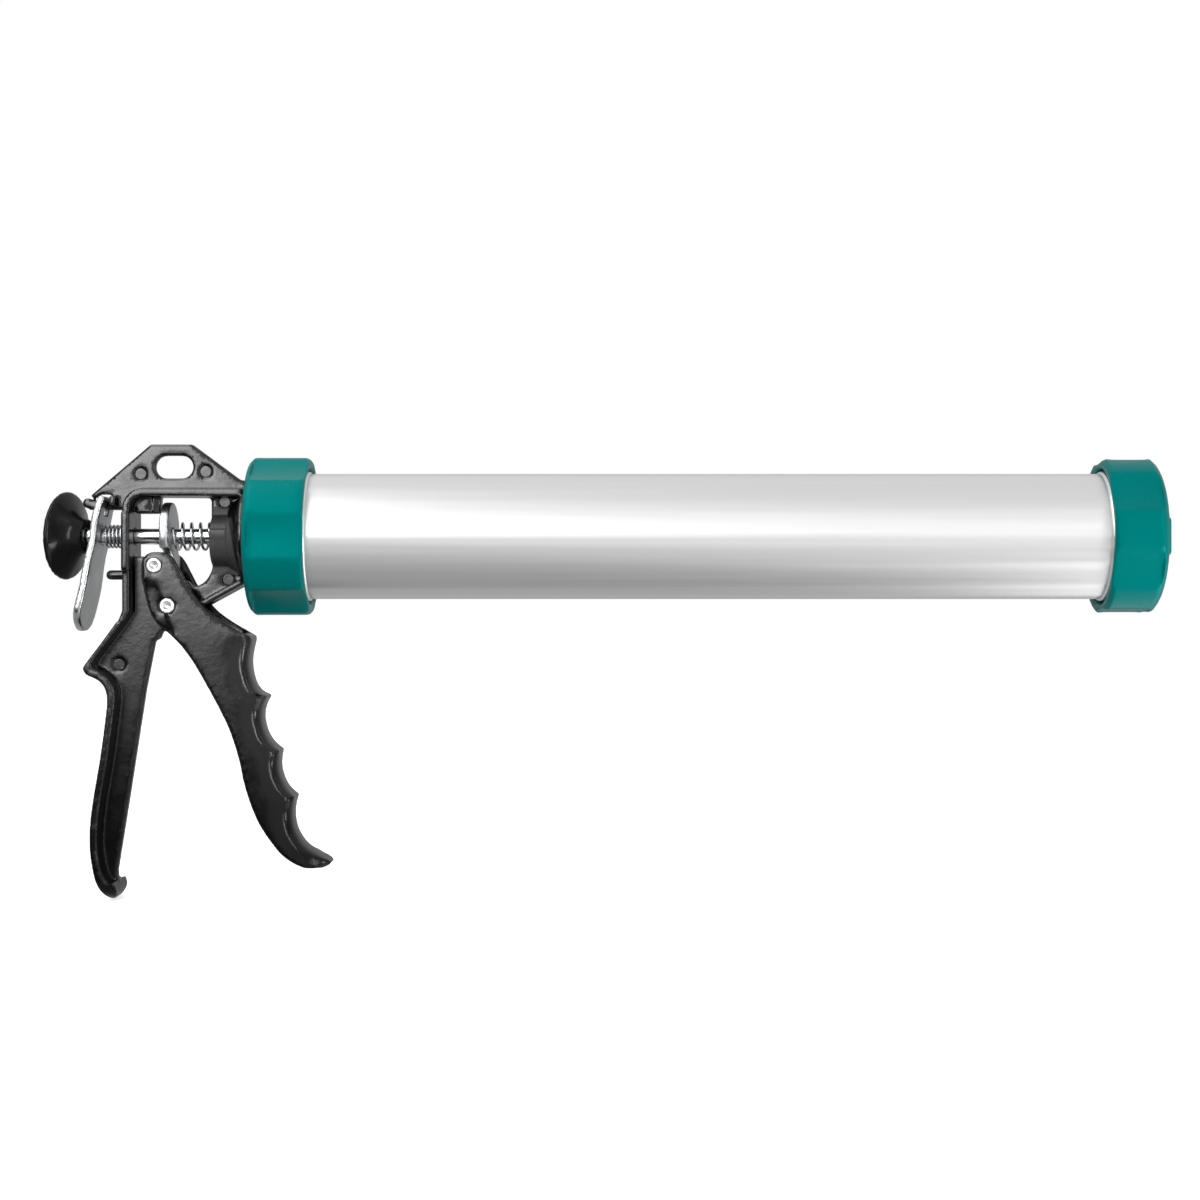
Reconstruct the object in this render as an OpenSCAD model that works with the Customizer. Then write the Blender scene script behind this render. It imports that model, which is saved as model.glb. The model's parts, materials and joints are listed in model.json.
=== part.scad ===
// Closed-barrel caulking gun with a friction-drive handle.
// The nozzle opening's centre is the origin. +X points out of the nozzle and +Z points up.

/* [Barrel] */
// Outside diameter of the barrel
barrel_d = 52; // [51:0.1:52.6]
// Wall thickness of the barrel
barrel_wall = 1.2; // [1:0.1:1.5]
// Length of the barrel
barrel_length = 362.5; // [300:0.5:460]
// Height of the rolled thread above the barrel's skin
thread_height = 1; // [0.6:0.1:1.2]
// Distance between two turns of the thread
thread_pitch = 5; // [4:0.5:6]

/* [Screw caps] */
// Outside diameter over the grip lobes
cap_d = 65.4; // [64:0.2:70]
// Length of the front cap's skirt and end wall
front_cap_length = 22.7; // [20:0.1:28]
// Length of the rear cap
rear_cap_length = 24.7; // [22:0.1:28]
// Number of finger scoops round a cap
scoop_count = 6; // [5:1:8]
// Depth of a finger scoop
scoop_depth = 2.3; // [1:0.1:2.4]
// Distance across the flats of the square nozzle collar
collar_w = 15.6; // [15.6:0.2:20]
// Length of the nozzle collar
collar_length = 6; // [4:0.5:10]
// Diameter of the nozzle opening
nozzle_bore_d = 12.6; // [10:0.1:13]

/* [Rod and piston] */
// Diameter of the push rod
rod_d = 6.6; // [6:0.1:7]
// Diameter of the pull knob
knob_d = 37; // [30:0.5:42]
// Length of the piston cup
piston_length = 14; // [10:0.5:24]

/* [Handle] */
// Thickness of the frame's central web
web_t = 4.5; // [3.5:0.1:5]
// Width of the frame's rear wall and top rim
wall_w = 24; // [22:0.5:26]
// Width of the palm grip
palm_w = 28; // [24:0.5:32]
// Thickness of the frame's walls
wall_t = 3.1; // [2.6:0.1:3.4]
// Width of the trigger
trigger_w = 25; // [24:0.5:27]
// Thickness of the trigger's cheeks
cheek_t = 3; // [2.5:0.1:3.2]
// Wire diameter of the drive spring
drive_wire_d = 1.1; // [0.8:0.1:1.3]
// Wire diameter of the release spring
release_wire_d = 1; // [0.8:0.1:1.1]

/* [Hidden] */

SMOOTH = 96;    // segments of a large round
FINE = 48;      // segments of a small round
FIT = 0.05;     // radial clearance of a running fit
GAP = 0.3;      // clearance between faces that move past each other
CUT = 0.5;      // overshoot of a cutting solid

// ---- lengths along the barrel ----
cap_r = cap_d / 2;
cap_bore_r = barrel_d / 2 + thread_height + 0.6;
cap_wall = 3.5;
cap_lip = 2.6;
seal_t = 1.5;
barrel_r = barrel_d / 2;
barrel_bore_r = barrel_r - barrel_wall;
front_face_x = -collar_length;
barrel_front_x = front_face_x - cap_wall - seal_t;
barrel_rear_x = barrel_front_x - barrel_length;
plate_front_x = barrel_rear_x - seal_t;
plate_t = 2.5;
hub_l = 3.5;
plate_r = cap_bore_r - 0.8;
hub_r = 19;
handle_x = plate_front_x - plate_t - hub_l;   // the frame's mounting face
rear_cap_x = plate_front_x - plate_t - GAP - cap_lip;
thread_turns = 3;
thread_start = 6.4;     // from the barrel's end to its first turn

// ---- rod and piston ----
rod_r = rod_d / 2;
stud_r = 3;
rod_front_x = barrel_front_x - 2;
tail_lean = 16;         // degrees to the side, away from the rod's line
tail_rise = 2;          // degrees upwards
nut_t = 5;
bend_x = handle_x - 66.9;
nut_af = 10;
washer_t = 1.5;
front_nut_x = rod_front_x - 1 - nut_t;
piston_x = front_nut_x - washer_t - piston_length;
stud_start_x = piston_x - 11;
piston_r = barrel_bore_r - GAP;
piston_skirt_t = 2.4;
piston_floor_t = 5;

// ---- handle, measured from its mounting face ----
web_h = web_t / 2;
spigot_r = 8;
spigot_l = 14;
plate_nut_t = 7;
plate_nut_af = 22;
rear_wall_x = -51.3;
rim_top_z = 19.6;
window_top_z = rim_top_z - 3.4;
boss_r = 10.6;
boss_back_x = -15.8;
flange_r = 20.5;
pivot = [-32.5, -28.8];
roller_at = [-37.9, -12.2];
pivot_pin_r = 2.5;
roller_pin_r = 2;
roller_r = 3.2;
rivet_head_r = 3.1;
rivet_head_t = 1.1;
mark_r = 2.6;
mark_depth = 0.7;
slot_at = [-31.7, 28.8];
slot_r = 4.7;
slot_half = 3.2;

// ---- drive plate and springs ----
drive_plate_t = 3.8;
drive_plate_back_x = -36;
drive_plate_top_z = 14.2;
drive_plate_w = 27;
drive_leg_w = 14;
leg_step = 1.5;     // how far the leg is stepped forward
drive_plate_front_x = drive_plate_back_x + drive_plate_t;
drive_coil_r = 5.5;
release_coil_r = 4.5;
release_spring_x = -60.9;

// ---- trigger ----
trigger_h = trigger_w / 2;
channel_h = trigger_h - cheek_t;
recess_depth = 0.7;

// ================= outline helpers =================

// Points along an arc about c, from angle a0 to a1.
function arc(c, r, a0, a1, n = 10) =
    [for (i = [0:n]) let (a = a0 + (a1 - a0) * i / n) [c[0] + r * cos(a), c[1] + r * sin(a)]];

// One point of a smooth curve between b and c, with a and d as its neighbours.
function blend(a, b, c, d, t) =
    0.5 * (2 * b + (c - a) * t + (2 * a - 5 * b + 4 * c - d) * t * t + (3 * b - a - 3 * c + d) * t * t * t);

// A smooth curve through the points of p, with n steps between neighbours.
function curve(p, n = 4) = concat(
    [for (i = [0:len(p) - 2], k = [0:n - 1])
        blend(p[max(i - 1, 0)], p[i], p[i + 1], p[min(i + 2, len(p) - 1)], k / n)],
    [p[len(p) - 1]]);

// The direction square to a path at its point i.
function side(p, i) = let (v = p[min(i + 1, len(p) - 1)] - p[max(i - 1, 0)]) [-v[1], v[0]] / norm(v);

// A strip of thickness t on the left of a path.
function strip(p, t) = concat(p, [for (i = [len(p) - 1:-1:0]) p[i] + t * side(p, i)]);

// Draws a side view in the XZ plane, w wide and centred on Y.
module across(w) {
    rotate([90, 0, 0]) linear_extrude(w, center = true) children();
}

// Draws a YZ view along +X from x, l long.
module along(x, l) {
    translate([x, 0, 0]) rotate([90, 0, 90]) linear_extrude(l) children();
}

// A round bar along +X.
module bar(x, l, r, fn = FINE) {
    translate([x, 0, 0]) rotate([0, 90, 0]) cylinder(r = r, h = l, $fn = fn);
}

// A round bar across the tool at a point of the side view.
module cross_bar(at, l, r) {
    translate([at[0], 0, at[1]]) rotate([90, 0, 0]) cylinder(r = r, h = l, center = true, $fn = FINE);
}

// Turns a profile of [x, radius] points round the X axis.
module turned(profile, fn = SMOOTH) {
    rotate([0, 90, 0]) rotate_extrude($fn = fn)
        polygon([for (p = profile) [p[1], p[0]]]);
}

// A hexagon nut along +X.
module nut(x, t, af, r) {
    difference() {
        translate([x, 0, 0]) rotate([0, 90, 0]) cylinder(d = af / cos(30), h = t, $fn = 6);
        bar(x - CUT, t + 2 * CUT, r);
    }
}

// A round wire coil along +X.
module coil(x, length, coil_r, wire_d, turns, start = 0) {
    steps = 20;
    sides = 8;
    wire_r = wire_d / 2;
    rings = round(turns * steps);
    pitch = (length - wire_d) / turns;
    points = [for (i = [0:rings], k = [0:sides - 1])
        let (a = start + 360 * i / steps, b = 360 * k / sides, r = coil_r + wire_r * cos(b))
            [x + wire_r + pitch * i / steps + wire_r * sin(b), r * cos(a), r * sin(a)]];
    walls = [for (i = [0:rings - 1], k = [0:sides - 1])
        let (a = i * sides + k, b = i * sides + (k + 1) % sides) [a, b, b + sides, a + sides]];
    first = [for (k = [sides - 1:-1:0]) k];
    last = [for (k = [0:sides - 1]) rings * sides + k];
    polyhedron(points, concat([first], walls, [last]), convexity = 10);
}

// ================= barrel and caps =================

module barrel() {
    color("gainsboro") difference() {
        union() {
            bar(barrel_rear_x, barrel_length, barrel_r, SMOOTH);
            for (i = [0:thread_turns - 1]) {
                thread_turn(barrel_rear_x + thread_start + i * thread_pitch);
                thread_turn(barrel_front_x - thread_start - i * thread_pitch);
            }
        }
        bar(barrel_rear_x - CUT, barrel_length + 2 * CUT, barrel_bore_r, SMOOTH);
    }
}

// One raised turn of the rolled thread.
module thread_turn(x) {
    bead = 1.6;
    translate([x, 0, 0]) rotate([0, 90, 0]) rotate_extrude($fn = SMOOTH)
        translate([barrel_r + thread_height - bead, 0]) circle(r = bead, $fn = 24);
}

// The scoops that fingers grip, cut into a cap from x0 to x1.
module scoops(x0, x1, start) {
    scoop_r = 56;
    for (i = [0:scoop_count - 1])
        rotate([start + 360 * i / scoop_count, 0, 0])
            translate([0, 0, cap_r - scoop_depth + scoop_r])
                bar(x0, x1 - x0, scoop_r, SMOOTH);
}

// The flare at a cap's mouth at x. out is 1 where the mouth faces +X and -1 where it faces -X.
module mouth(x, out) {
    depth = 2.5;
    flare = 1.2;
    inner_x = x - out * depth;
    outer_x = x + out * CUT;
    turned([[inner_x, 10], [inner_x, cap_bore_r], [outer_x, cap_bore_r + flare], [outer_x, 10]]);
}

module rear_cap() {
    open_x = rear_cap_x + rear_cap_length;
    edge = 1.4;
    color("teal") difference() {
        turned([
            [rear_cap_x, 10], [rear_cap_x, cap_r - 1.8], [rear_cap_x + 1.8, cap_r],
            [open_x - edge, cap_r], [open_x, cap_r - edge], [open_x, 10]
        ]);
        bar(rear_cap_x - CUT, rear_cap_length + 2 * CUT, hub_r + 0.5, SMOOTH);
        bar(rear_cap_x + cap_lip, rear_cap_length, cap_bore_r, SMOOTH);
        mouth(open_x, 1);
        scoops(rear_cap_x + 2, open_x + CUT, 90);
    }
}

module front_cap() {
    open_x = front_face_x - front_cap_length;
    edge = 1.4;
    color("teal") difference() {
        union() {
            turned([
                [open_x, 0], [open_x, cap_r - edge], [open_x + edge, cap_r],
                [front_face_x - 2.4 * edge, cap_r], [front_face_x - edge, cap_r - 1.6],
                [front_face_x, cap_r - 4], [front_face_x, 0]
            ]);
            along(front_face_x - 1, collar_length + 1) soft_square(collar_w, 2);
        }
        bar(open_x - CUT, front_cap_length - cap_wall + CUT, cap_bore_r, SMOOTH);
        bar(front_face_x - cap_wall - CUT, cap_wall + collar_length + 2 * CUT, nozzle_bore_d / 2);
        mouth(open_x, -1);
        scoops(open_x - CUT, front_face_x - 2.4, 56);
    }
}

// A square of width w with corners of radius r.
module soft_square(w, r) {
    square([w, w - 2 * r], center = true);
    square([w - 2 * r, w], center = true);
    for (y = [-1, 1], z = [-1, 1])
        translate([y * (w / 2 - r), z * (w / 2 - r)]) circle(r = r, $fn = FINE);
}

// A flat ring seal.
module seal(x) {
    color("dimgray") difference() {
        bar(x, seal_t, plate_r, SMOOTH);
        bar(x - CUT, seal_t + 2 * CUT, barrel_bore_r - 3, SMOOTH);
    }
}

module rear_seal() {
    seal(plate_front_x);
}

module front_seal() {
    seal(barrel_front_x);
}

module barrel_plate() {
    color("dimgray") difference() {
        union() {
            bar(handle_x, hub_l + plate_t, hub_r, SMOOTH);
            bar(handle_x + hub_l, plate_t, plate_r, SMOOTH);
        }
        bar(handle_x - CUT, hub_l + plate_t + 2 * CUT, spigot_r);
    }
}

module plate_nut() {
    color("silver") nut(plate_front_x, plate_nut_t, plate_nut_af, spigot_r);
}

// ================= rod and piston =================

module rod() {
    color("silver") {
        bar(bend_x, stud_start_x - bend_x, rod_r);
        bar(stud_start_x, rod_front_x - stud_start_x, stud_r);
        translate([bend_x, 0, 0]) sphere(r = rod_r, $fn = SMOOTH);
        at_bend() bar(-12, 12, stud_r);
    }
}

// The rod's tail, and the knob on it, lean away from the rod's line.
module at_bend() {
    translate([bend_x, 0, 0]) rotate([0, tail_rise, -tail_lean]) children();
}

module knob() {
    knob_r = knob_d / 2;
    neck_r = 7.2;
    neck_x = -0.8;
    rim_x = -9.9;
    flare = curve([[rim_x, knob_r - 0.6], [rim_x + 2.6, 13.4], [rim_x + 5, 9.6], [rim_x + 7, neck_r + 0.4],
        [neck_x, neck_r]], 5);
    color("#202020") at_bend() difference() {
        turned(concat(
            [[rim_x - 4.6, 0], [rim_x - 4.2, 8], [rim_x - 3.3, 14], [rim_x - 2.3, knob_r - 0.8],
                [rim_x - 1.6, knob_r], [rim_x - 0.5, knob_r]],
            flare, [[neck_x, 0]]));
        bar(-12, 12, stud_r);
    }
}

module piston_cup() {
    color("whitesmoke") difference() {
        turned([[piston_x, 0], [piston_x, piston_r - 0.5], [piston_x + 0.5, piston_r],
            [piston_x + piston_length - 2, piston_r], [piston_x + piston_length, piston_r - 2],
            [piston_x + piston_length, 0]]);
        bar(piston_x - CUT, piston_length - piston_floor_t + CUT, piston_r - piston_skirt_t, SMOOTH);
        bar(piston_x - CUT, piston_length + 2 * CUT, stud_r);
    }
}

// A flat steel washer on the rod's stud.
module washer(x, t, r) {
    color("silver") difference() {
        bar(x, t, r, SMOOTH);
        bar(x - CUT, t + 2 * CUT, stud_r);
    }
}

module piston_rear_washer() {
    washer_x = piston_x + piston_length - piston_floor_t - washer_t;
    washer(washer_x, washer_t, 18);
}

module piston_front_washer() {
    washer(piston_x + piston_length, washer_t, 15);
}

module piston_nuts() {
    rear_x = piston_x + piston_length - piston_floor_t - washer_t - nut_t;
    color("silver") {
        nut(front_nut_x, nut_t, nut_af, stud_r);
        nut(rear_x, nut_t, nut_af, stud_r);
    }
}

// ================= frame =================

// The outer line of the wall, from the top rim down the back and round the foot of the palm.
wall_outer = concat(
    [[-2, rim_top_z]],
    arc([rear_wall_x + 8.3, rim_top_z - 8.3], 8.3, 90, 180, 8),
    [[rear_wall_x, -31]],
    curve([[-53, -35.2], [-60, -44.7], [-66, -52.6], [-66.9, -54.8], [-65.4, -57.2], [-61, -59.2],
        [-58.1, -62.4], [-57.1, -67], [-57.6, -74], [-60, -92], [-62.5, -106.5], [-64, -118],
        [-64.2, -128], [-63.2, -136], [-61.8, -142.2], [-60.2, -146.4], [-58.2, -149.2], [-56.6, -150.2],
        [-54.9, -149.2], [-53.9, -147], [-53.9, -144.8], [-55, -142.6]], 3));

// The inner line of the wall, along the same way.
wall_inner = concat(
    [[-2, window_top_z]],
    arc([rear_wall_x + 8.3, rim_top_z - 8.3], 8.3 - wall_t, 90, 180, 6),
    [[rear_wall_x + wall_t, -31]],
    curve([[-50.6, -35], [-57.6, -44.4], [-62.8, -51.4], [-63, -54], [-60.2, -55.6],
        [-56.2, -59], [-54.1, -63], [-53.8, -67], [-54.5, -74], [-56.9, -92], [-59.4, -106.5], [-60.9, -118],
        [-61.1, -128], [-60.2, -135], [-58.8, -140.6], [-56.8, -143.2]], 3));

// The web's outline without its window and slot.
web_outline = concat(
    [[-2, rim_top_z - 1], [-2, 23.3], [-4, 23.3], [-24.2, 38.2], [-41.4, 38.2], [-66.4, 16.9], [-65.6, 16.2],
        [-63.4, 16.2], [-62.6, 17.4], [-57, 17.4], [-57, 11], [-50, 11], [-50, -32]],
    curve([[-52, -36], [-60, -46.5], [-65.4, -54], [-64.6, -56.2], [-60.4, -58], [-57, -61.6], [-55.8, -67],
        [-56.4, -74], [-58.8, -92], [-61.3, -106.5], [-62.8, -118], [-63, -128], [-61.8, -135.4], [-60, -142],
        [-57.6, -146.4]], 2),
    [[-54.8, -144], [-55.3, -138.8], [-50, -105.6], [-43.5, -63.6], [-39.6, -43.4]],
    arc([-39, -41.2], 1.8, -85, -20, 4),
    arc(pivot, 11, 250, 300, 6),
    [[-22, -31.6], [-15.8, -28], [-3.3, -21.2], [-2, -20.6]]);

// The window that the rod crosses, with the notch that the roller swings in.
window_outline = concat(
    [[-48.2, window_top_z], [-17.6, window_top_z], [-16.2, 15]],
    curve([[-16.2, 0], [-16.2, -4], [-15.6, -10.8], [-16.6, -15.2], [-19, -18.8], [-22.5, -20.8]], 4),
    [[-24.5, -20.4], [-26, -18.4], [-43.6, -18.4], [-43.6, -8.3], [-48.2, -8.3]]);

module hang_slot() {
    for (s = [-1, 1])
        translate([slot_at[0] + s * slot_half, slot_at[1]]) circle(r = slot_r, $fn = FINE);
    translate([slot_at[0] - slot_half, slot_at[1] - slot_r]) square([2 * slot_half, 2 * slot_r]);
}

module frame_web() {
    across(web_t) difference() {
        polygon(web_outline);
        polygon(window_outline);
        hang_slot();
    }
}

// The part of the wall between two heights.
module wall_band(low, high) {
    outer = [for (p = wall_outer) if (p[1] > low && p[1] < high) p];
    inner = [for (p = wall_inner) if (p[1] > low && p[1] < high) p];
    polygon(concat(outer, [for (i = [len(inner) - 1:-1:0]) inner[i]]));
}

module frame_wall() {
    across(wall_w) wall_band(-38, 50);
    intersection() {
        across(palm_w) wall_band(-160, -33);
        along(-80, 40) tongue(palm_w / 2, 0, -139, 11.4);
    }
}

// A long tab, h to each side, whose end below z is rounded off over a length of l.
module tongue(h, top, z, l) {
    round_end = [for (i = [0:24]) [-h * cos(180 * i / 24), z - l * sin(180 * i / 24)]];
    polygon(concat([[-h, top]], round_end, [[h, top]]));
}

// The boss that carries the rod, and the flange that the barrel plate sits on.
module frame_nose() {
    translate([0, 0, -1.8]) bar(boss_back_x, 13, boss_r, SMOOTH);
    turned(concat([[-9.6, 0]], arc([-9.6, flange_r - 0.6], 6.8, -80, -8, 8),
        [[-2.6, flange_r], [0, flange_r], [0, 0]]));
    bar(-1, spigot_l + 1, spigot_r);
    translate([boss_back_x, -boss_r - 0.5, -0.9]) cube([8.3, 2 * boss_r + 1, 3.5]);
}

// The rib under the brace, which runs back to the pivot.
module frame_brace() {
    rib_w = 2 * channel_h - 3;
    across(rib_w) polygon([[-2, -19.9], [-14.6, -26.8], [-22, -31], [-22, -28.2], [-14.6, -24], [-2, -17.1]]);
    cross_bar(pivot, 2 * channel_h - 2 * GAP, 6);
}

// The tab that the release lever hangs on, the peg that stops the lever, the pads on the wall's edges
// and the drive plate's stop.
module frame_stops() {
    tab_z = 12.8;
    peg_r = 2.05;
    peg_x = -58.3;
    pad_t = 0.8;
    translate([-67, -web_h, tab_z - 1.85]) cube([17.5, web_t, 3.7]);
    cross_bar([-67.6, tab_z + 1], web_t, 2.1);
    translate([-57.7, -7, tab_z]) cube([2.6, 14, 3.8]);
    translate([0, 0, -16]) {
        bar(peg_x, 8.5, peg_r);
        translate([peg_x, 0, 0]) sphere(r = peg_r, $fn = FINE);
    }
    for (s = [-1, 1])
        translate([rear_wall_x - 0.3, s * wall_w / 2 - pad_t, -14]) cube([wall_t + 0.2, 2 * pad_t, 23.6]);
    translate([-47.2, -4.2, 9.4]) cube([6.8, 8.4, 7.6]);
    translate([-41, -3.2, 9.4]) cube([3.8, 6.4, 7.6]);
}

// Shallow round marks where the casting was pushed out of its mould.
module frame_marks() {
    for (at = [[-45.5, 25.9], [-18.5, 26.9], [-10.6, 14.3], [-9.2, -17.9], [-54.6, -53.2]])
        for (s = [-1, 1])
            translate([at[0], s * web_h, at[1]]) rotate([90, 0, 0])
                cylinder(r = mark_r, h = 2 * mark_depth, center = true, $fn = FINE);
}

module frame() {
    color("#262626") translate([handle_x, 0, 0]) difference() {
        union() {
            frame_web();
            frame_wall();
            frame_nose();
            frame_brace();
            frame_stops();
        }
        bar(-30, 50, rod_r + FIT);
        bar(-60, 20, rod_r + GAP);
        cross_bar(pivot, palm_w, pivot_pin_r + FIT);
        frame_marks();
    }
}

// ================= drive and release =================

module drive_plate() {
    step_z = -4;
    low_z = -9;
    foot_z = -15;
    top = drive_plate_top_z;
    h = drive_plate_w / 2;
    leg_h = drive_leg_w / 2;
    back = drive_plate_back_x;
    back_line = [[back, top], [back, step_z], [back + leg_step, low_z], [back + leg_step, foot_z]];
    front_line = [for (i = [3:-1:0]) back_line[i] + [drive_plate_t, 0]];
    color("lightgray") translate([handle_x, 0, 0]) difference() {
        intersection() {
            across(drive_plate_w + 2) polygon(concat(back_line, front_line));
            along(-50, 40) polygon(concat(
                arc([0, top - h], h, -26, 206, 32),
                [[-8.6, -5.3], [-leg_h, -7], [-leg_h, foot_z], [leg_h, foot_z], [leg_h, -7], [8.6, -5.3]]));
        }
        bar(-50, 40, rod_r + GAP);
    }
}

module drive_spring() {
    length = boss_back_x - drive_plate_front_x - 2 * FIT;
    color("silver") translate([handle_x, 0, 0])
        coil(drive_plate_front_x + FIT, length, drive_coil_r, drive_wire_d, 4.1, 142);
}

// The back of the lever in the side view, from its top to its tip.
lever_line = curve([[-61.2, 16.8], [-62.9, 10.9], [-64.2, 4.8], [-65, -2.6], [-66.8, -10.8], [-68.4, -21.1],
    [-70.8, -31.7], [-71.6, -39.6]], 4);

module release_lever() {
    lever_t = 3;
    tip_w = 15.5;
    tip_z = -29;
    tip_h = 10.4;
    color("lightgray") translate([handle_x, 0, 0]) difference() {
        intersection() {
            across(40) polygon(strip(lever_line, lever_t));
            along(-90, 60) polygon(concat(
                [[-12.5, 12], [-10, 16.8], [10, 16.8], [12.5, 12], [13, 0], [14, -12], [15.2, -22]],
                [for (i = [0:24]) let (a = -180 * i / 24) [tip_w * cos(a), tip_z + tip_h * sin(a)]],
                [[-15.2, -22], [-14, -12], [-13, 0]]));
        }
        bar(-90, 60, rod_r + 1.1);
        translate([-90, -3.2, 8.4]) cube([60, 6.4, 6.7]);
    }
}

module release_spring() {
    color("silver") translate([handle_x, 0, 0])
        coil(release_spring_x, rear_wall_x - FIT - release_spring_x, release_coil_r, release_wire_d, 5.5);
}

// ================= trigger =================

// The trigger's side view: round the head and down its back to the tip.
head_line = concat(
    arc(roller_at, 5.6, 90, 185, 9),
    curve([[-43.4, -18], [-42.2, -24], [-39.8, -32], [-36.8, -36.6], [-33.6, -39.2], [-28.6, -43.6],
        [-22.2, -51.9], [-13.1, -67.9], [-7.1, -80.2], [-3.3, -92.3], [-1, -102.8], [3.6, -115.9], [9.6, -125.7],
        [16, -132.8], [23.8, -136.7], [31, -136.8], [34.5, -135.2]], 4));

// From the tip up the finger grooves, with a cusp between each two fingers.
grip_line = concat(
    curve([[34.5, -134.7], [28.4, -131], [23.2, -128], [18.9, -121.3], [17.8, -113.4], [19.2, -108.2]], 4),
    curve([[19.2, -107.4], [14.4, -102.6], [12, -94.4], [13, -89.4]], 4),
    curve([[13, -88.6], [7.4, -83], [5, -73.4], [7.6, -66.6]], 4),
    curve([[7.6, -65.8], [2.4, -62.4], [0, -52.4], [1.7, -42.4]], 4));

arm_line = curve([[1, -41.2], [-5, -38.2], [-13.4, -32.8], [-18.4, -28], [-23.4, -21.4], [-26.8, -15],
    [-29.6, -9.8], [-31.6, -7.6], [-34.4, -6.7]], 3);

trigger_outline = concat(head_line, grip_line, arm_line);

// The grip's rounded front, as a stack of slices that shrink towards each side.
module grip_slices() {
    round_r = 6;
    slices = 6;
    for (i = [0:slices - 1]) {
        a = 90 * (i + 0.5) / slices;
        across(2 * (trigger_h - round_r + round_r * sin(a))) intersection() {
            polygon(trigger_outline);
            offset(delta = -round_r * (1 - cos(a)))
                polygon(concat(grip_line, [[1, -20], [-120, -20], [-120, -220], [80, -220], [80, -134.7]]));
        }
    }
}

// The upper arm keeps its full width.
module arm_area() {
    polygon([[-60, 10], [20, 10], [20, -30], [-2, -41.5], [-14, -49], [-26, -60], [-60, -60]]);
}

// The open channel between the cheeks, above the floor that joins them.
module arm_channel() {
    across(2 * channel_h) polygon([[-60, 0], [30, 0], [30, -30], [4, -38.6], [-8, -42.6], [-22, -46.4],
        [-30, -47], [-60, -40]]);
}

// The hollow behind the finger grooves, open towards the palm.
module grip_hollow() {
    across(2 * channel_h - 3) polygon([[-30, -52], [-22, -50.2], [-8, -46.6], [-5.4, -48], [-3.6, -62], [0.4, -74],
        [3.6, -86], [7.4, -96], [10.6, -108], [13.4, -118], [10, -121], [-2, -118], [-20, -90]]);
}

// The step on the outside of each cheek, behind the rivets.
module cheek_recess() {
    for (s = [-1, 1])
        translate([0, s * (trigger_h + 5 - recess_depth), 0]) across(10)
            polygon(curve([[-60, -19], [-41, -18.4], [-38.4, -18.6], [-36.6, -20.4], [-35.2, -24], [-33.6, -30],
                [-31.4, -36], [-30, -41], [-30, -60]], 2));
}

module trigger() {
    color("#262626") translate([handle_x, 0, 0]) difference() {
        intersection() {
            union() {
                grip_slices();
                across(trigger_w) intersection() {
                    polygon(trigger_outline);
                    arm_area();
                }
            }
            translate([0, 0, -150]) linear_extrude(160) rotate(90) tongue(trigger_h + CUT, 80, -19, 16.4);
        }
        arm_channel();
        grip_hollow();
        cheek_recess();
        cross_bar(pivot, trigger_w + 2, pivot_pin_r);
        cross_bar(roller_at, trigger_w + 2, roller_pin_r);
    }
}

// A rivet across the trigger with a dimple in each head.
module rivet(at, r) {
    tip_y = trigger_h + rivet_head_t;
    color("silver") translate([handle_x, 0, 0]) difference() {
        union() {
            cross_bar(at, trigger_w, r);
            for (s = [-1, 1])
                translate([at[0], s * (trigger_h + rivet_head_t / 2), at[1]]) rotate([90, 0, 0])
                    cylinder(r = rivet_head_r, h = rivet_head_t, center = true, $fn = FINE);
        }
        for (s = [-1, 1])
            translate([at[0], s * tip_y, at[1]]) sphere(r = 1.5, $fn = FINE);
    }
}

module trigger_rivet() {
    rivet(pivot, pivot_pin_r);
}

module roller_rivet() {
    rivet(roller_at, roller_pin_r);
}

module drive_roller() {
    color("silver") translate([handle_x, 0, 0]) difference() {
        cross_bar(roller_at, 2 * channel_h - 2 * GAP, roller_r);
        cross_bar(roller_at, trigger_w, roller_pin_r + FIT);
    }
}

frame();
barrel_plate();
plate_nut();
rear_cap();
rear_seal();
barrel();
front_seal();
front_cap();
rod();
knob();
piston_cup();
piston_rear_washer();
piston_front_washer();
piston_nuts();
drive_plate();
drive_spring();
release_lever();
release_spring();
trigger();
trigger_rivet();
roller_rivet();
drive_roller();
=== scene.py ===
import json
import math

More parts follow.
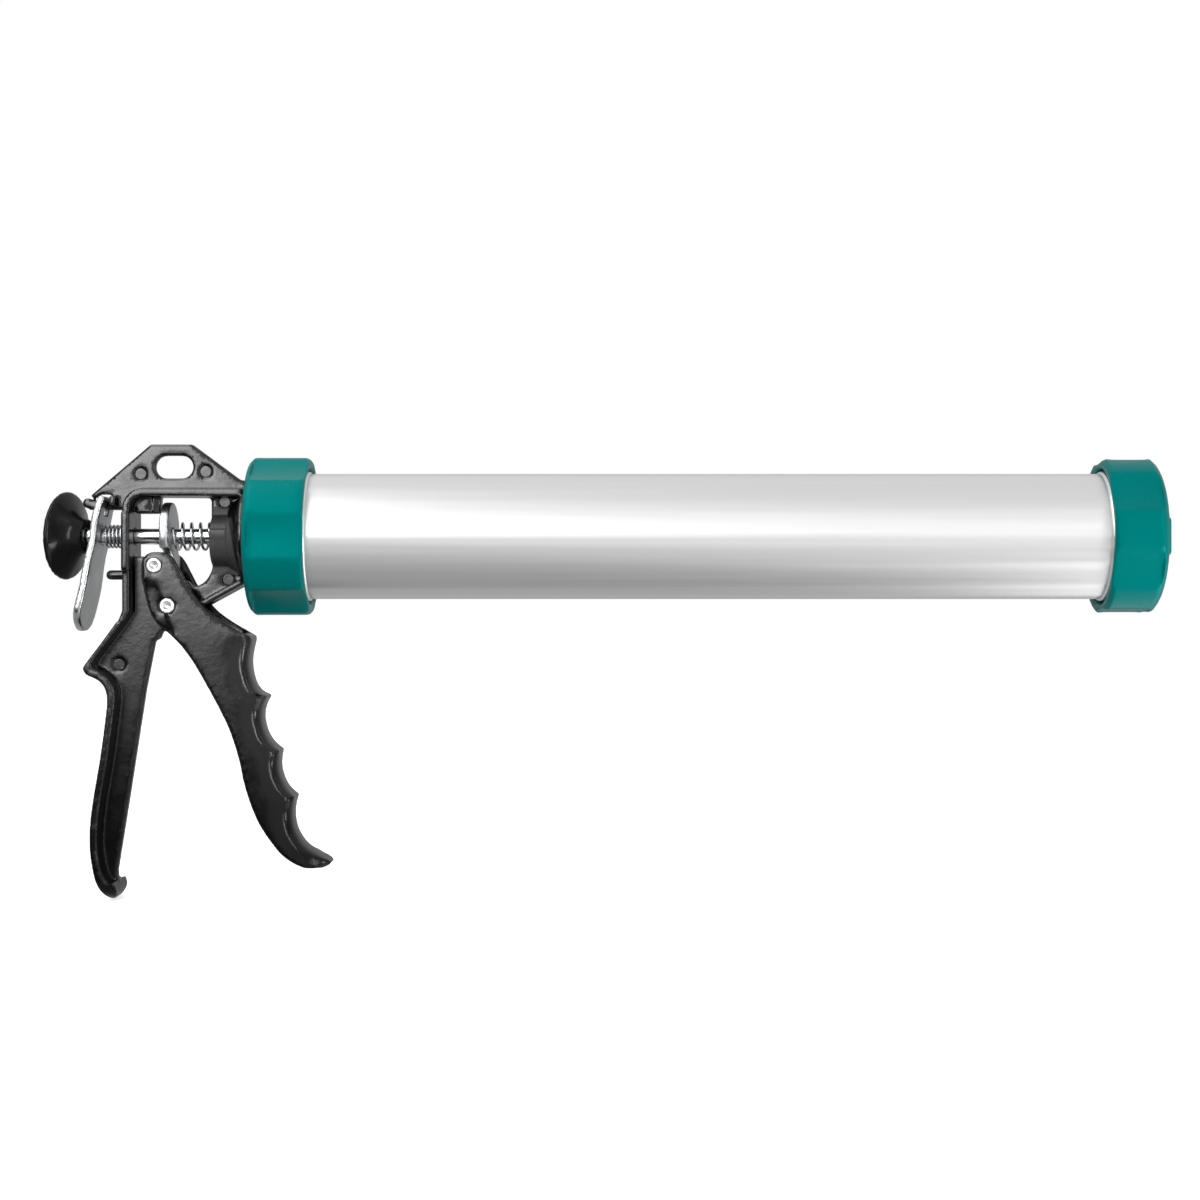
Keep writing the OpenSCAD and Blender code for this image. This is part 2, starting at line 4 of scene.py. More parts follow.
import bmesh
import bpy
import numpy as np
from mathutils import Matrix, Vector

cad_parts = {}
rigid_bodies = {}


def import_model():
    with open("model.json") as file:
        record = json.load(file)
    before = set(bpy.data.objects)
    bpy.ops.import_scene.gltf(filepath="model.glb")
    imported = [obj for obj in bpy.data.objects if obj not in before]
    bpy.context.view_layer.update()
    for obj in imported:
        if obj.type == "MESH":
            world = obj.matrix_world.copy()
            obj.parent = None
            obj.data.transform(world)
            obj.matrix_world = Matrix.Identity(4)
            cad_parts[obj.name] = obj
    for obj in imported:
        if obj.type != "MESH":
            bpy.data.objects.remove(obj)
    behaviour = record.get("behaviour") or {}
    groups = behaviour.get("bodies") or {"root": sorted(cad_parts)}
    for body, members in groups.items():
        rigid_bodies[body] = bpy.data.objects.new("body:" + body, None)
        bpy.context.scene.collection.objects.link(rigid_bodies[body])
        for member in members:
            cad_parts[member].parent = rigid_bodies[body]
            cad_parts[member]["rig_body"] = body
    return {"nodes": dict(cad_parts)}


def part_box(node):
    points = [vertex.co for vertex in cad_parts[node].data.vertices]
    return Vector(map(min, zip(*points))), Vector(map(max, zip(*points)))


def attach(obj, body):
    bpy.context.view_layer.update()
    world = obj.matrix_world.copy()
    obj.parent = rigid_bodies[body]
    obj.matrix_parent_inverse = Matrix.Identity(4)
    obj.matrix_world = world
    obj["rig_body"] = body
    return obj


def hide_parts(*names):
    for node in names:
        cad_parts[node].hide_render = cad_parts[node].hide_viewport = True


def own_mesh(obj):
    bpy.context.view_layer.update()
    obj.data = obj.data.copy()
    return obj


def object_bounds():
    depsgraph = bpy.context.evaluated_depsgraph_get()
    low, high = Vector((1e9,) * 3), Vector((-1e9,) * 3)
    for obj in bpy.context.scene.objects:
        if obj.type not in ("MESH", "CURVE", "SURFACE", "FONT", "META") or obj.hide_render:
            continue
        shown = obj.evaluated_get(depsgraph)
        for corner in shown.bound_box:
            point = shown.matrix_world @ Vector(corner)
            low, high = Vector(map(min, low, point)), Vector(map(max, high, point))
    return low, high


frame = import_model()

import openvdb
from mathutils import Vector

CAD_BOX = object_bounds()

MM = 0.001

# ---- camera: level, looking along +Y, with the object's plane about 0.92 m away ----
CAMERA_AT = Vector((-0.2359, -0.9152, -0.0264))
CAMERA_LENS = 66.0
SENSOR = 36.0

# ---- the handle's casting, in millimetres ----
SPIGOT_LENGTH = 14.0      # from the handle's face to the end of its nose
WEB_HALF = 2.25           # half the web's thickness
BOSS_LENGTH = 16.2        # how far the round boss reaches behind the handle's face
BOSS_Z = -1.8
BOSS_REACH = 14.5         # a radius that takes in the boss, but not the marks beside it

# ---- marks that ejector pins leave in the casting, as X from the handle's face and Z, in millimetres ----
EJECTOR_MARKS = ((-45.5, 25.9), (-18.5, 26.9), (-10.6, 14.3), (-9.2, -17.9), (-54.6, -53.2))
MARK_RADIUS = 2.42
MARK_SINK = 0.12          # how far a mark's face lies below the web's face
MARK_FOOT = 0.9           # how far its filling reaches down
MARK_BEVEL = 0.12

# ---- springs ----
DRIVE_TURNS = 4.1
DRIVE_START = 142.0       # degrees, where the wire starts
DRIVE_WIRE = 1.1 * MM
RELEASE_TURNS = 5.5
RELEASE_WIRE = 1.0 * MM

TURNED_EDGE = 0.3 * MM    # the bevel on the barrel's and the rod's edges
MASK_FADE = 0.5 * MM      # over how much a look fades into the next

# ---- the black paint's specular level, from the grips up to the handle's top; the weaker reflection on the grips is painted shade ----
GRIP_Z = -0.13
TOP_Z = -0.05
GRIP_SPECULAR = 0.18
TOP_SPECULAR = 0.5
BOSS_DULLING = 0.3        # how much rougher the satin boss is


# ================= meshes =================

def cad_arrays(node):
    """The points, in millimetres, and the triangles of a CAD node."""
    mesh = frame["nodes"][node].data
    points = np.empty(len(mesh.vertices) * 3, np.float32)
    mesh.vertices.foreach_get("co", points)
    mesh.calc_loop_triangles()
    faces = np.empty(len(mesh.loop_triangles) * 3, np.int32)
    mesh.loop_triangles.foreach_get("vertices", faces)
    return points.reshape(-1, 3) / MM, faces.reshape(-1, 3).astype(np.uint32)


def level_set(points, voxel, reach, triangles=None, quads=None):
    """A distance field around a closed surface, good to reach on both sides."""
    band = reach / voxel + 3
    return openvdb.FloatGrid.createLevelSetFromPolygons(
        points, triangles=triangles, quads=quads,
        transform=openvdb.createLinearTransform(voxelSize=voxel),
        exBandWidth=band, inBandWidth=band)


def new_object(name, mesh, body):
    """Links a mesh to the scene as a smooth piece that rides on a CAD body."""
    piece = bpy.data.objects.new(name, mesh)
    bpy.context.scene.collection.objects.link(piece)
    mesh.shade_smooth()
    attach(piece, body)
    return piece


def moulded(name, node, voxel, fillet, rounding, smooth=2, detail=0.08):
    """A CAD node with its inner corners filled and its outer edges rounded, as on moulded and cast parts.
    The lengths are in millimetres."""
    points, triangles = cad_arrays(node)
    grid = level_set(points, voxel, fillet, triangles=triangles)
    points, quads = grid.convertToQuads(fillet)
    inward = fillet + rounding
    grid = level_set(points, voxel, inward, quads=quads)
    points, quads = grid.convertToQuads(-inward)
    grid = level_set(points, voxel, rounding, quads=quads)
    points, triangles, quads = grid.convertToPolygons(rounding, detail)
    mesh = bpy.data.meshes.new(name)
    mesh.from_pydata((points * MM).tolist(), [], triangles.tolist() + quads.tolist())
    mesh.update()
    face_up(mesh)
    piece = new_object(name, mesh, frame["nodes"][node]["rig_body"])
    relax = piece.modifiers.new("relax", "SMOOTH")
    relax.factor = 0.5
    relax.iterations = smooth
    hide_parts(node)
    return piece


def add_ejector_marks(casting):
    """Fills the casting's blind marks with flat round faces, so that each shows as a fine ring."""
    face_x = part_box("frame")[1].x / MM - SPIGOT_LENGTH
    work = bmesh.new()
    work.from_mesh(casting.data)
    for x, z in EJECTOR_MARKS:
        for side in (-1, 1):
            rings = [ring(work, face_x + x, z, radius, side * y) for radius, y in mark_profile()]
            for inner, outer in zip(rings[1:], rings):
                for k in range(len(outer)):
                    after = (k + 1) % len(outer)
                    corners = (outer[k], outer[after], inner[after], inner[k])
                    work.faces.new(corners if side < 0 else corners[::-1])
            work.faces.new(rings[-1] if side < 0 else rings[-1][::-1])
            work.faces.new(rings[0][::-1] if side < 0 else rings[0])
    for face in work.faces:
        face.smooth = True
    work.to_mesh(casting.data)
    work.free()


def mark_profile():
    """A mark's radius and Y at each of its rings, from its foot to the middle of its face."""
    face_y = WEB_HALF - MARK_SINK
    profile = [(MARK_RADIUS, WEB_HALF - MARK_FOOT), (MARK_RADIUS, face_y - MARK_BEVEL)]
    return profile + [(MARK_RADIUS - inset, face_y) for inset in (MARK_BEVEL, 0.3, 0.6, 1.2)]


def ring(work, x, z, radius, y, sides=48):
    """New points on a circle that faces along Y. The lengths are in millimetres."""
    points = []
    for k in range(sides):
        turn = 2 * math.pi * k / sides
        place = Vector((x + radius * math.cos(turn), y, z + radius * math.sin(turn)))
        points.append(work.verts.new(place * MM))
    return points


def face_up(mesh):
    """Turns a closed mesh's faces outwards."""
    work = bmesh.new()
    work.from_mesh(mesh)
    if work.calc_volume(signed=True) < 0:
        bmesh.ops.reverse_faces(work, faces=work.faces)
    work.to_mesh(mesh)
    work.free()


def turned_metal(name, node, edge, sharp=30):
    """A copy of a CAD node with small bevels on its sharp edges."""
    mesh = frame["nodes"][node].data.copy()
    mesh.name = name
    work = bmesh.new()
    work.from_mesh(mesh)
    bmesh.ops.remove_doubles(work, verts=work.verts, dist=0.002 * MM)
    bmesh.ops.dissolve_limit(work, angle_limit=math.radians(0.5), verts=work.verts, edges=work.edges)
    work.to_mesh(mesh)
    work.free()
    piece = new_object(name, mesh, frame["nodes"][node]["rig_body"])
    bevel = piece.modifiers.new("edge", "BEVEL")
    bevel.width = edge
    bevel.segments = 3
    bevel.limit_method = "ANGLE"
    bevel.angle_limit = math.radians(sharp)
    bevel.harden_normals = True
    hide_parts(node)
    return piece


def spring(name, node, turns, wire, start):
    """A round wire coil that fills a CAD spring's box and rides on the spring's body."""
    low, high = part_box(node)
    wire_r = wire / 2
    coil_r = (high.z - low.z) / 2 - wire_r
    steps = 40
    sides = 16
    rings = round(turns * steps)
    mesh = bpy.data.meshes.new(name)
    points = []
    for i in range(rings + 1):
        angle = math.radians(start) + 2 * math.pi * i / steps
        x = low.x + wire_r + (high.x - low.x - wire) * i / rings
        for k in range(sides):
            turn = 2 * math.pi * k / sides
            r = coil_r + wire_r * math.cos(turn)
            points.append((x + wire_r * math.sin(turn), r * math.cos(angle), r * math.sin(angle)))
    faces = [tuple(range(sides - 1, -1, -1)), tuple(rings * sides + k for k in range(sides))]
    for i in range(rings):
        for k in range(sides):
            a = i * sides + k
            b = i * sides + (k + 1) % sides
            faces.append((a, b, b + sides, a + sides))
    mesh.from_pydata(points, [], faces)
    face_up(mesh)
    piece = new_object(name, mesh, frame["nodes"][node]["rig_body"])
    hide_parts(node)
    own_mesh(piece)
    return piece


# ================= materials =================

class Look:
    """A Principled material, with short calls for the nodes that vary it."""

    def __init__(self, name, colour, **sockets):
        self.material = bpy.data.materials.new(name)
        self.material.use_nodes = True
        self.tree = self.material.node_tree
        self.shader = self.tree.nodes["Principled BSDF"]
        self.shader.inputs["Base Color"].default_value = (*colour, 1)
        for socket, value in sockets.items():
            self.shader.inputs[socket.replace("_", " ")].default_value = value
        self.place = self.tree.nodes.new("ShaderNodeTexCoord").outputs["Object"]

    def link(self, out, to):
        self.tree.links.new(out, to)

    def stretched(self, scale, shift=(0, 0, 0)):
        """The place, scaled along each axis and then shifted."""
        mapping = self.tree.nodes.new("ShaderNodeMapping")
        mapping.inputs["Location"].default_value = shift
        mapping.inputs["Scale"].default_value = scale
        self.link(self.place, mapping.inputs["Vector"])
        return mapping.outputs["Vector"]

    def along(self, axis):
        """The place's X, Y or Z."""
        split = self.tree.nodes.new("ShaderNodeSeparateXYZ")
        self.link(self.place, split.inputs["Vector"])
        return split.outputs[axis]

    def noise(self, scale, detail=3, rough=0.5, stretch=(1, 1, 1)):
        node = self.tree.nodes.new("ShaderNodeTexNoise")
        node.inputs["Scale"].default_value = scale
        node.inputs["Detail"].default_value = detail
        node.inputs["Roughness"].default_value = rough
        self.link(self.stretched(stretch), node.inputs["Vector"])
        return node.outputs["Fac"]

    def spread(self, value, low, high, to_low=0.0, to_high=1.0):
        """Maps low..high to to_low..to_high."""
        node = self.tree.nodes.new("ShaderNodeMapRange")
        for socket, number in zip(node.inputs[1:5], (low, high, to_low, to_high)):
            socket.default_value = number
        self.link(value, node.inputs["Value"])
        return node.outputs["Result"]

    def pair(self, operation, a, b):
        """Joins two values with a math node."""
        node = self.tree.nodes.new("ShaderNodeMath")
        node.operation = operation
        self.link(a, node.inputs[0])
        self.link(b, node.inputs[1])
        return node.outputs["Value"]

    def times(self, a, b):
        return self.pair("MULTIPLY", a, b)

    def mix(self, share, first, second):
        """first where share is 0 and second where it is 1. Each is a colour or another node's output."""
        node = self.tree.nodes.new("ShaderNodeMix")
        node.data_type = "RGBA"
        self.link(share, node.inputs["Factor"])
        for name, colour in (("A", first), ("B", second)):
            socket = next(s for s in node.inputs if s.name == name and s.type == "RGBA")
            if isinstance(colour, tuple):
                socket.default_value = (*colour, 1)
            else:
                self.link(colour, socket)
        return next(s for s in node.outputs if s.type == "RGBA")

    def edges(self, low=0.52, high=0.62):
        """1 on sharp outer edges and 0 elsewhere."""
        point = self.tree.nodes.new("ShaderNodeNewGeometry").outputs["Pointiness"]
        return self.spread(point, low, high)

    def specks(self, scale, size, share, stretch):
        """1 in small scattered flecks. share is how many cells have one."""
        cells = self.tree.nodes.new("ShaderNodeTexVoronoi")
        cells.inputs["Scale"].default_value = scale
        self.link(self.stretched(stretch), cells.inputs["Vector"])
        near = self.spread(cells.outputs["Distance"], size, size * 0.6)
        split = self.tree.nodes.new("ShaderNodeSeparateColor")
        self.link(cells.outputs["Color"], split.inputs["Color"])
        chosen = self.spread(split.outputs["Red"], 1 - share, 1 - share + 0.01)
        return self.times(near, chosen)

    def height(self, low, high, to_low, to_high):
        """Maps the Z of the place, from low to high in metres, to to_low..to_high."""
        return self.spread(self.along("Z"), low, high, to_low, to_high)

    def boss(self, back_x, z, radius):
        """1 on a round boss along X, in front of back_x, and 0 elsewhere. The lengths are in metres."""
        length = self.tree.nodes.new("ShaderNodeVectorMath")
        length.operation = "LENGTH"
        self.link(self.stretched((0, 1, 1), (0, 0, -z)), length.inputs[0])
        near = self.spread(length.outputs["Value"], radius, radius - MASK_FADE)
        return self.times(near, self.spread(self.along("X"), back_x - MASK_FADE, back_x))

    def colour(self, out):
        self.link(out, self.shader.inputs["Base Color"])

    def roughness(self, value, low, high):
        self.link(self.spread(value, 0.3, 0.7, low, high), self.shader.inputs["Roughness"])

    def bump(self, *layers):
        """Each layer is (height, distance in metres, strength)."""
        normal = None
        for height, distance, strength in layers:
            node = self.tree.nodes.new("ShaderNodeBump")
            node.inputs["Distance"].default_value = distance
            node.inputs["Strength"].default_value = strength
            self.link(height, node.inputs["Height"])
            if normal is not None:
                self.link(normal, node.inputs["Normal"])
            normal = node.outputs["Normal"]
        self.link(normal, self.shader.inputs["Normal"])


def black_paint():
    """Semi-gloss black paint over a casting: a faint cast grain, lighter edges that are partly wear and
    partly a painted highlight, and a few flecks. The grips reflect less than the handle's top, which is
    painted shade, and the round boss is rougher, with a painted sheen in its lighter colour."""
    look = Look("black_paint", (0.003, 0.003, 0.0034), Specular_IOR_Level=TOP_SPECULAR)
    boss_back_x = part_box("frame")[1].x - (SPIGOT_LENGTH + BOSS_LENGTH) * MM
    # The round boss's mask: the boss is made rougher there, and it is also coloured lighter, a painted sheen.
    satin_and_painted_sheen = look.boss(boss_back_x, BOSS_Z * MM, BOSS_REACH * MM)
    gloss = look.mix(look.noise(45, 4), (0.002, 0.002, 0.0022), (0.0045, 0.0045, 0.005))
    # Painted sheen: the round boss gets a colour about ten times lighter than the rest of the paint.
    tone = look.mix(satin_and_painted_sheen, gloss, (0.042, 0.042, 0.043))
    # Lighter paint on sharp outer edges: partly edge wear, partly a painted highlight along the edges.
    rubbed_and_painted_glint = look.times(look.edges(), look.spread(look.noise(140, 5, 0.7), 0.45, 0.6))
    worn_and_painted_glint = look.mix(rubbed_and_painted_glint, tone, (0.13, 0.13, 0.132))
    look.colour(look.mix(look.specks(180, 0.14, 0.035, (1, 1, 0.35)), worn_and_painted_glint, (0.3, 0.3, 0.3)))
    # Painted shade: the paint reflects less towards the grips, so that the handle's lower half looks darker.
    specular = look.height(GRIP_Z, TOP_Z, GRIP_SPECULAR, TOP_SPECULAR)
    look.link(specular, look.shader.inputs["Specular IOR Level"])
    grain = look.spread(look.noise(90, 5, 0.65), 0.3, 0.7, 0.14, 0.24)
    dulling = look.spread(satin_and_painted_sheen, 0, 1, 0, BOSS_DULLING)
    look.link(look.pair("ADD", grain, dulling), look.shader.inputs["Roughness"])
    look.bump((look.noise(1500, 2), 0.00008, 0.25), (look.noise(420, 3), 0.0002, 0.22),
              (look.noise(120, 2), 0.0005, 0.15))
    return look.material


def black_lacquer():
    look = Look("black_lacquer", (0.02, 0.02, 0.02), Specular_IOR_Level=0.4)
    look.colour(look.mix(look.noise(60, 4), (0.013, 0.013, 0.013), (0.03, 0.03, 0.03)))
    look.roughness(look.noise(120, 4), 0.35, 0.5)
    look.bump((look.noise(1500, 2), 0.0001, 0.2))
    return look.material


def zinc_plate():
    """Satin zinc on pressed steel, with faint rolling lines down its length."""
    look = Look("zinc_plate", (0.7, 0.71, 0.72), Metallic=1.0)
    look.colour(look.mix(look.noise(70, 5), (0.42, 0.43, 0.44), (0.64, 0.65, 0.66)))
    lines = look.noise(900, 3, 0.6, (1, 1, 0.04))
    look.roughness(look.noise(50, 4), 0.24, 0.42)
    look.bump((lines, 0.00005, 0.2), (look.noise(1800, 2), 0.00005, 0.15))
    return look.material


def teal_plastic():
    """Glossy moulded plastic with a slight flow unevenness."""
    look = Look("teal_plastic", (0.0, 0.13, 0.125), Specular_IOR_Level=0.14,
                Specular_Tint=(0.0, 1.0, 0.97, 1.0))
    look.colour(look.mix(look.noise(35, 3), (0.0, 0.128, 0.122), (0.0, 0.152, 0.146)))
    look.roughness(look.noise(60, 4), 0.2, 0.32)
    look.bump((look.noise(90, 2), 0.0004, 0.12), (look.noise(1600, 2), 0.00004, 0.12))
    return look.material


def black_plastic():
    look = Look("black_plastic", (0.004, 0.004, 0.004), Specular_IOR_Level=0.2)
    look.colour(look.mix(look.noise(50, 4), (0.003, 0.003, 0.003), (0.006, 0.006, 0.006)))
    look.roughness(look.noise(70, 5, 0.6), 0.14, 0.22)
    look.bump((look.noise(70, 2), 0.0003, 0.12))
    return look.material


def drawn_aluminium():
    """Satin aluminium, drawn along X."""
    look = Look("drawn_aluminium", (0.81, 0.81, 0.815), Metallic=1.0)
    lines = look.noise(700, 4, 0.65, (0.012, 1, 1))
    wide = look.noise(120, 3, 0.5, (0.03, 1, 1))
    look.colour(look.mix(wide, (0.775, 0.775, 0.78), (0.845, 0.845, 0.845)))
    look.roughness(lines, 0.34, 0.42)
    look.bump((lines, 0.00005, 0.22))
    return look.material


def bright_bar():
    look = Look("bright_bar", (0.8, 0.8, 0.815), Metallic=1.0)
    look.colour(look.mix(look.noise(60, 3, 0.5, (0.1, 1, 1)), (0.74, 0.74, 0.755), (0.86, 0.86, 0.87)))
    look.roughness(look.noise(300, 4, 0.6, (0.05, 1, 1)), 0.16, 0.26)
    look.bump((look.noise(1200, 3, 0.6, (0.03, 1, 1)), 0.00003, 0.15))
    return look.material


def spring_wire():
    look = Look("spring_wire", (0.62, 0.63, 0.65), Metallic=1.0)
    look.colour(look.mix(look.noise(300, 3), (0.5, 0.51, 0.53), (0.74, 0.75, 0.76)))
    look.roughness(look.noise(400, 3), 0.16, 0.3)
    look.bump((look.noise(2500, 2), 0.00003, 0.15))
    return look.material


def rivet_steel():
    look = Look("rivet_steel", (0.75, 0.75, 0.75), Metallic=1.0)
    look.colour(look.mix(look.noise(400, 4), (0.62, 0.62, 0.62), (0.84, 0.84, 0.84)))
    look.roughness(look.noise(500, 3), 0.3, 0.42)
    look.bump((look.noise(1500, 3), 0.00006, 0.25))
    return look.material


def seal_rubber():
    look = Look("seal_rubber", (0.05, 0.05, 0.05), Specular_IOR_Level=0.3)
    look.colour(look.mix(look.noise(200, 4), (0.035, 0.035, 0.035), (0.07, 0.07, 0.07)))
    look.roughness(look.noise(300, 3), 0.6, 0.8)
    look.bump((look.noise(1400, 3), 0.0001, 0.3))
    return look.material


def piston_plastic():
    look = Look("piston_plastic", (0.76, 0.76, 0.73))
    look.colour(look.mix(look.noise(80, 4), (0.7, 0.7, 0.67), (0.8, 0.8, 0.77)))
    look.roughness(look.noise(150, 3), 0.4, 0.55)
    look.bump((look.noise(1200, 3), 0.0001, 0.2))
    return look.material


# ================= the pieces =================

def add_pieces():
    """Makes each visible piece and gives it its look. A moulded piece's numbers are its voxel
    size, its inner fillet and its outer rounding."""
    paint = black_paint()
    lacquer = black_lacquer()
    zinc = zinc_plate()
    teal = teal_plastic()
    knob_plastic = black_plastic()
    aluminium = drawn_aluminium()
    bright = bright_bar()
    wire = spring_wire()
    rivet = rivet_steel()
    rubber = seal_rubber()
    cup = piston_plastic()
    casting = moulded("frame_casting", "frame", 0.34, 0.4, 0.3, smooth=1)
    add_ejector_marks(casting)
    pieces = [
        (casting, paint, "black_paint"),
        (moulded("trigger_casting", "trigger", 0.4, 1.3, 0.8, smooth=8), paint, "black_paint"),
        (moulded("rear_screw_cap", "rear_cap", 0.32, 0.25, 0.3), teal, "teal_plastic"),
        (moulded("front_screw_cap", "front_cap", 0.32, 0.25, 0.3), teal, "teal_plastic"),
        (moulded("pull_knob", "knob", 0.3, 0.5, 0.5, smooth=24), knob_plastic, "black_plastic"),
        (moulded("lever_plate", "release_lever", 0.3, 0.3, 0.6), zinc, "zinc_steel"),
        (moulded("grip_plate", "drive_plate", 0.3, 0.3, 0.45), zinc, "zinc_steel"),
        (moulded("barrel_seat", "barrel_plate", 0.4, 0.3, 0.5), lacquer, "black_steel"),
        (moulded("seat_nut", "plate_nut", 0.3, 0.2, 0.4), zinc, "zinc_steel"),
        (moulded("pivot_rivet", "trigger_rivet", 0.14, 0.2, 0.3), rivet, "rivet_steel"),
        (moulded("upper_rivet", "roller_rivet", 0.14, 0.2, 0.3), rivet, "rivet_steel"),
        (moulded("push_roller", "drive_roller", 0.25, 0.2, 0.4), rivet, "rivet_steel"),
        (moulded("piston", "piston_cup", 0.4, 0.4, 0.5), cup, "piston_plastic"),
        (moulded("rear_ring_seal", "rear_seal", 0.3, 0.1, 0.35), rubber, "seal_rubber"),
        (moulded("front_ring_seal", "front_seal", 0.3, 0.1, 0.35), rubber, "seal_rubber"),
        (moulded("stud_nuts", "piston_nuts", 0.2, 0.15, 0.3), zinc, "zinc_steel"),
        (moulded("large_washer", "piston_rear_washer", 0.25, 0.1, 0.25), zinc, "zinc_steel"),
        (moulded("small_washer", "piston_front_washer", 0.25, 0.1, 0.25), zinc, "zinc_steel"),
        (turned_metal("barrel_tube", "barrel", TURNED_EDGE), aluminium, "barrel_aluminium"),
        (turned_metal("push_rod", "rod", TURNED_EDGE), bright, "rod_chrome"),
        (spring("drive_coil", "drive_spring", DRIVE_TURNS, DRIVE_WIRE, DRIVE_START), wire, "spring_steel"),
        (spring("release_coil", "release_spring", RELEASE_TURNS, RELEASE_WIRE, 0), wire, "spring_steel"),
    ]
    for piece, material, slot in pieces:
        piece.data.materials.clear()
        piece.data.materials.append(material)


# ================= stage =================

def add_camera():
    data = bpy.data.cameras.new("camera")
    data.lens = CAMERA_LENS
    data.sensor_width = SENSOR
    data.clip_start = 0.01
    data.clip_end = 20
    camera = bpy.data.objects.new("camera", data)
    camera.location = CAMERA_AT
    camera.rotation_euler = (math.radians(90), 0, 0)
    bpy.context.scene.collection.objects.link(camera)
    bpy.context.scene.camera = camera


def softbox(name, at, aim, width, height, radiance):
    """A rectangular light whose face has the given radiance."""
    data = bpy.data.lights.new(name, "AREA")
    data.shape = "RECTANGLE"
    data.size = width
    data.size_y = height
    data.energy = radiance * math.pi * width * height
    light = bpy.data.objects.new(name, data)
    light.location = at
    light.rotation_euler = (Vector(aim) - Vector(at)).to_track_quat("-Z", "Y").to_euler()
    bpy.context.scene.collection.objects.link(light)


# The card beside the camera, from its top edge down: each band's lower edge in metres and its radiance.
CARD_TOP = 0.75
CARD_BANDS = ((0.36, 5.0), (0.06, 9.8), (0.0, 5.2), (-0.05, 3.2), (-0.1, 1.6), (-0.16, 0.8))
CARD_LEFT = -0.86
CARD_RIGHT = -0.47
CARD_Y = -1.0
CARD_TURN = 0.2           # how far to the right of its own middle the card aims, in the gun's plane

# The other lights: name, place, aim, width, height and radiance.
SOFTBOXES = (
    ("right_strip", (0.5, -0.75, 0.2), (-0.35, 0, -0.05), 0.16, 0.8, 9.0),
    ("low_card", (0.5, -0.1, -0.5), (0.5, -0.1, 0), 1.0, 1.0, 1.2),
    ("cap_fill", (0.11, -0.11, -0.14), (-0.02, -0.02, -0.02), 0.08, 0.08, 15.0),
    ("top_card", (-0.59, -0.3, 0.42), (-0.59, -0.2, 0), 0.26, 0.5, 4.5),
)

FLAG_LEFT = -1.5
FLAG_LOW = -1.1
FLAG_MARGIN = 0.03        # how far the flag stands behind the card and past its right edge


def add_lights():
    """A card that fades downwards, which the handle mirrors, and the other lights."""
    middle = (CARD_LEFT + CARD_RIGHT) / 2
    top = CARD_TOP
    for low, radiance in CARD_BANDS:
        at = (middle, CARD_Y, (top + low) / 2)
        aim = (middle + CARD_TURN, 0, (top + low) / 2)
        softbox("card_band", at, aim, CARD_RIGHT - CARD_LEFT, top - low, radiance)
        top = low
    for box in SOFTBOXES:
        softbox(*box)


def add_flag():
    """A black board behind the card, beside the camera, which keeps the handle's lower half dark."""
    mesh = bpy.data.meshes.new("flag")
    right = CARD_RIGHT + FLAG_MARGIN
    y = CARD_Y - FLAG_MARGIN
    corners = [(FLAG_LEFT, y, FLAG_LOW), (right, y, FLAG_LOW), (right, y, CARD_TOP), (FLAG_LEFT, y, CARD_TOP)]
    mesh.from_pydata(corners, [], [(0, 1, 2, 3)])
    flag = bpy.data.objects.new("flag", mesh)
    bpy.context.scene.collection.objects.link(flag)
    mesh.materials.append(Look("flag", (0.01, 0.01, 0.01), Specular_IOR_Level=0.0).material)
    flag.visible_camera = False


# The room's tone from straight down, at 0, to straight up, at 1.
ROOM_TONES = ((0.1, 0.52), (0.2, 0.66), (0.33, 0.84), (0.46, 0.97), (0.56, 1.0), (0.68, 0.96), (0.8, 0.88))
ROOM_LOWEST = 0.36
ROOM_HIGHEST = 0.84

# The room is weakest in level directions past the gun's ends and behind it, and strongest above, below and
# on the camera's side. A direction's openness is the larger of its -Y and its |Z|.
ROOM_OPENNESS = (0.2, 0.75)
ROOM_STRENGTH = (0.4, 0.93)


def world_math(tree, operation, first, second=None):
    """A math node's output. first and second are other nodes' outputs or numbers."""
    node = tree.nodes.new("ShaderNodeMath")
    node.operation = operation
    for socket, value in zip(node.inputs, (first, second)):
        if isinstance(value, float):
            socket.default_value = value
        elif value is not None:
            tree.links.new(value, socket)
    return node.outputs["Value"]


def room_tone(tree, z):
    """The room's colour at a direction whose Z is given."""
    height = tree.nodes.new("ShaderNodeMapRange")
    height.inputs["From Min"].default_value = -1
    tree.links.new(z, height.inputs["Value"])
    ramp = tree.nodes.new("ShaderNodeValToRGB")
    ramp.color_ramp.elements[0].color = (ROOM_LOWEST, ROOM_LOWEST, ROOM_LOWEST, 1)
    ramp.color_ramp.elements[1].color = (ROOM_HIGHEST, ROOM_HIGHEST, ROOM_HIGHEST, 1)
    for at, tone in ROOM_TONES:
        ramp.color_ramp.elements.new(at).color = (tone, tone, tone, 1)
    tree.links.new(height.outputs["Result"], ramp.inputs["Fac"])
    return ramp.outputs["Color"]


def room_strength(tree, y, z):
    """The room's strength at a direction whose Y and Z are given."""
    front = world_math(tree, "MULTIPLY", y, -1.0)
    upright = world_math(tree, "ABSOLUTE", z)
    open_side = world_math(tree, "MAXIMUM", front, upright)
    strength = tree.nodes.new("ShaderNodeMapRange")
    for socket, number in zip(strength.inputs[1:5], ROOM_OPENNESS + ROOM_STRENGTH):
        socket.default_value = number
    tree.links.new(open_side, strength.inputs["Value"])
    return strength.outputs["Result"]


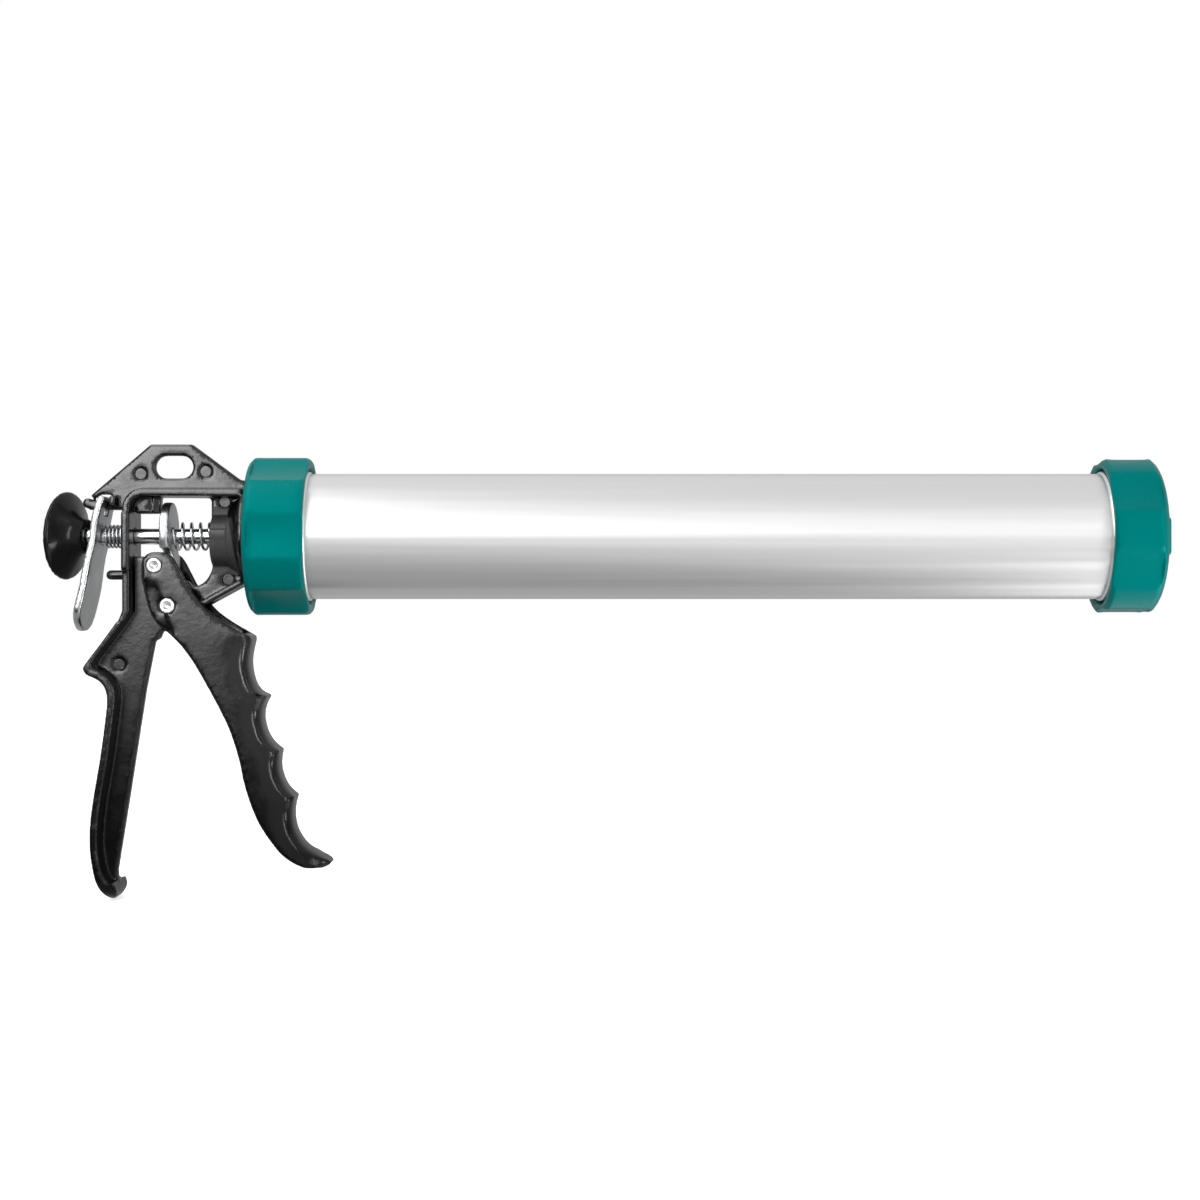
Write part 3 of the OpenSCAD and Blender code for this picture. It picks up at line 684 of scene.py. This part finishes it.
def add_world():
    """A pale room, darker below, and darker level with the gun at its ends and behind it. The camera sees it
    as plain white."""
    world = bpy.data.worlds.new("studio")
    bpy.context.scene.world = world
    world.use_nodes = True
    tree = world.node_tree
    tree.nodes.clear()
    place = tree.nodes.new("ShaderNodeTexCoord")
    split = tree.nodes.new("ShaderNodeSeparateXYZ")
    tree.links.new(place.outputs["Generated"], split.inputs["Vector"])
    sky = tree.nodes.new("ShaderNodeBackground")
    tree.links.new(room_tone(tree, split.outputs["Z"]), sky.inputs["Color"])
    tree.links.new(room_strength(tree, split.outputs["Y"], split.outputs["Z"]), sky.inputs["Strength"])
    white = tree.nodes.new("ShaderNodeBackground")
    white.inputs["Color"].default_value = (1, 1, 1, 1)
    seen = tree.nodes.new("ShaderNodeLightPath")
    mix = tree.nodes.new("ShaderNodeMixShader")
    tree.links.new(seen.outputs["Is Camera Ray"], mix.inputs["Fac"])
    tree.links.new(sky.outputs["Background"], mix.inputs[1])
    tree.links.new(white.outputs["Background"], mix.inputs[2])
    out = tree.nodes.new("ShaderNodeOutputWorld")
    tree.links.new(mix.outputs["Shader"], out.inputs["Surface"])


FLOOR_HALF = 8.0
FLOOR_DROP = 0.0005       # how far it lies below the gun


def add_floor():
    """A plain pale floor just below the handles' tips."""
    mesh = bpy.data.meshes.new("floor")
    z = CAD_BOX[0].z - FLOOR_DROP
    corners = [(x * FLOOR_HALF, y * FLOOR_HALF, z) for x, y in ((-1, -1), (1, -1), (1, 1), (-1, 1))]
    mesh.from_pydata(corners, [], [(0, 1, 2, 3)])
    floor = bpy.data.objects.new("floor", mesh)
    bpy.context.scene.collection.objects.link(floor)
    look = Look("floor", (0.9, 0.9, 0.9), Roughness=0.9, Emission_Strength=0.55)
    look.shader.inputs["Emission Color"].default_value = (1, 1, 1, 1)
    look.colour(look.mix(look.noise(3, 2), (0.89, 0.89, 0.89), (0.91, 0.91, 0.91)))
    mesh.materials.append(look.material)
    floor.visible_glossy = False
    floor.visible_diffuse = False


add_pieces()
add_camera()
add_lights()
add_flag()
add_world()
add_floor()
bpy.context.scene.view_settings.view_transform = "Standard"
